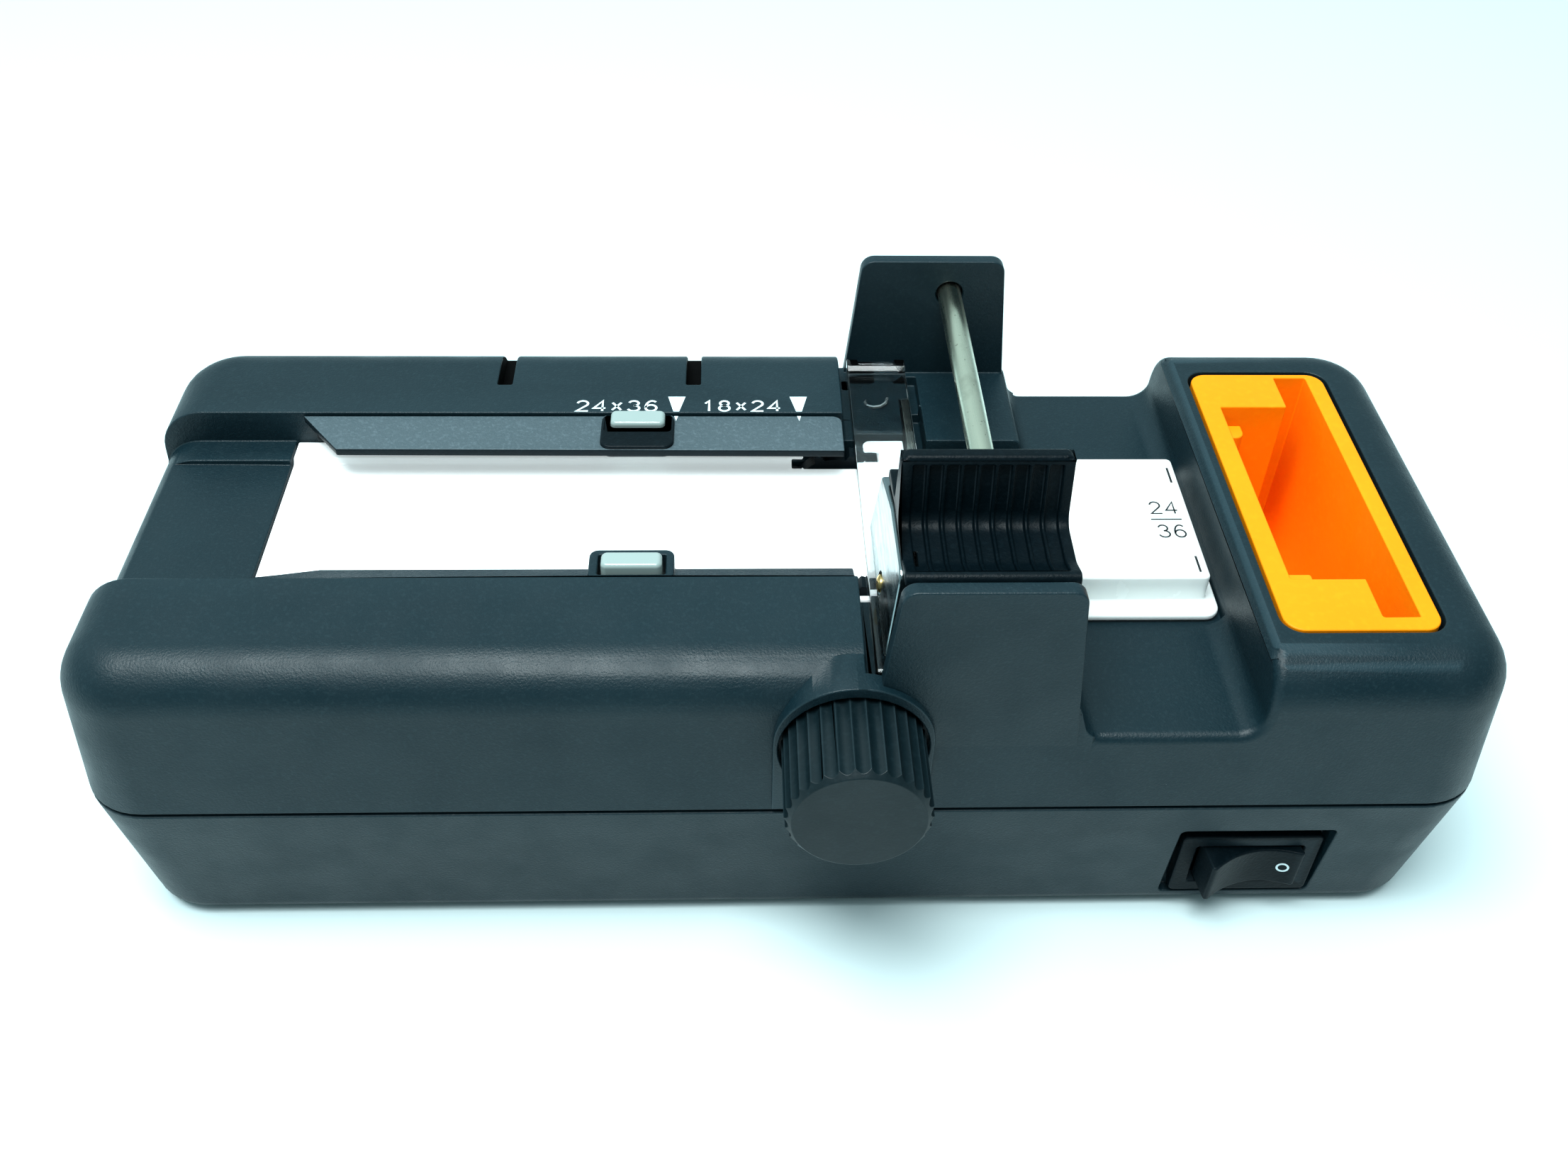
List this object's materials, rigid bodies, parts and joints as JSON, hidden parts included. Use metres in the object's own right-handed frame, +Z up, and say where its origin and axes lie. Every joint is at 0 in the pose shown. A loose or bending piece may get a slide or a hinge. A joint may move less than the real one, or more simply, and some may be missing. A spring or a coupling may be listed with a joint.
{
  "type": "slide film cutter",
  "caption": "Battery light box that feeds film strips under a clear bar to a sliding roller knife, with a numbered stop block and an orange tray for slide mounts.",
  "frame": {"origin": "middle of the bounding box, on the table under the feet", "axes": "+X to the right along the film, +Y away from the operator, +Z up; the feed knob points to -Y"},
  "size_m": [0.1866, 0.0878, 0.0704],
  "materials": {
    "black_shell": "fine matte spark texture, charcoal black",
    "black_moulding": "smooth satin black",
    "grey_texture": "grained dark grey",
    "milk_acrylic": "milky translucent white, satin",
    "white_moulding": "plain white moulding",
    "clear_acrylic": "clear water-white acrylic",
    "orange_moulding": "bright orange, satin",
    "bright_steel": "plated steel with fine drawing marks",
    "brass": "plain brass",
    "lamp_glass": "clear bulb glass",
    "cell_jacket": "plain printed sleeve with no lettering",
    "foot_rubber": "soft black rubber"
  },
  "bodies": {
    "housing": {"top_shell": "black_shell", "base_shell": "black_shell", "film_guide_rear": "grey_texture", "light_panel": "milk_acrylic", "stop_block": "milk_acrylic", "counter_blade": "bright_steel", "guide_rod": "bright_steel", "mount_tray": "orange_moulding", "reflector_tray": "white_moulding", "lamp_holder_1": "black_moulding", "lamp_holder_2": "black_moulding", "lamp_1": "lamp_glass", "lamp_2": "lamp_glass", "battery_1": "cell_jacket", "battery_2": "cell_jacket", "battery_3": "cell_jacket", "contact_spring_1": "bright_steel", "contact_spring_2": "bright_steel", "contact_spring_3": "bright_steel", "contact_plate_left": "brass", "contact_plate_right": "brass", "switch_frame": "black_moulding", "switch_terminal_1": "brass", "switch_terminal_2": "brass", "strip_spring_front": "bright_steel", "strip_spring_rear": "bright_steel", "foot_1": "foot_rubber", "foot_2": "foot_rubber", "foot_3": "foot_rubber", "foot_4": "foot_rubber", "screw_1": "bright_steel", "screw_2": "bright_steel", "screw_3": "bright_steel", "screw_4": "bright_steel"},
    "carriage": {"cutter_carriage": "black_moulding", "blade_guard": "bright_steel", "wheel_axle": "brass"},
    "wheel": {"cutter_wheel": "bright_steel"},
    "feed": {"feed_knob": "black_moulding", "feed_shaft": "bright_steel", "sprocket_front": "black_moulding", "sprocket_rear": "black_moulding"},
    "rocker": {"switch_rocker": "black_moulding"},
    "strip": {"pressure_strip": "clear_acrylic"},
    "pad_rear": {"film_pad_rear": "clear_acrylic"},
    "pad_front": {"film_pad_front": "clear_acrylic"},
    "door": {"battery_door": "black_shell"}
  },
  "joints": [
    {"name": "carriage_slide", "type": "slide", "parent": "housing", "child": "carriage", "axis": [0, 1, 0], "range_m": [0, 0.042]},
    {"name": "wheel_roll", "type": "hinge", "parent": "carriage", "child": "wheel", "pos_m": [0.0199, -0.01565, 0.0505], "axis": [1, 0, 0], "range_deg": [-302, 0]},
    {"name": "feed_turn", "type": "hinge", "parent": "housing", "child": "feed", "pos_m": [0.0073, 0.00585, 0.0375], "axis": [0, 1, 0], "continuous": true},
    {"name": "switch_toggle", "type": "hinge", "parent": "housing", "child": "rocker", "pos_m": [0.0638, -0.02895, 0.0104], "axis": [0, 0, 1], "range_deg": [-20.8, 0]},
    {"name": "strip_press", "type": "slide", "parent": "housing", "child": "strip", "axis": [0, 0, -1], "range_m": [0, 0.0004], "stiffness_N_per_m": 1500},
    {"name": "pad_rear_press", "type": "slide", "parent": "housing", "child": "pad_rear", "axis": [0, 0, -1], "range_m": [0, 0.0006], "stiffness_N_per_m": 600},
    {"name": "pad_front_press", "type": "slide", "parent": "housing", "child": "pad_front", "axis": [0, 0, -1], "range_m": [0, 0.0006], "stiffness_N_per_m": 600},
    {"name": "battery_door_slide", "type": "slide", "parent": "housing", "child": "door", "axis": [-1, 0, 0], "range_m": [0, 0.055]}
  ],
  "couplings": [
    {"joint": "wheel_roll", "follows": "carriage_slide", "rad_per_m": -125}
  ]
}
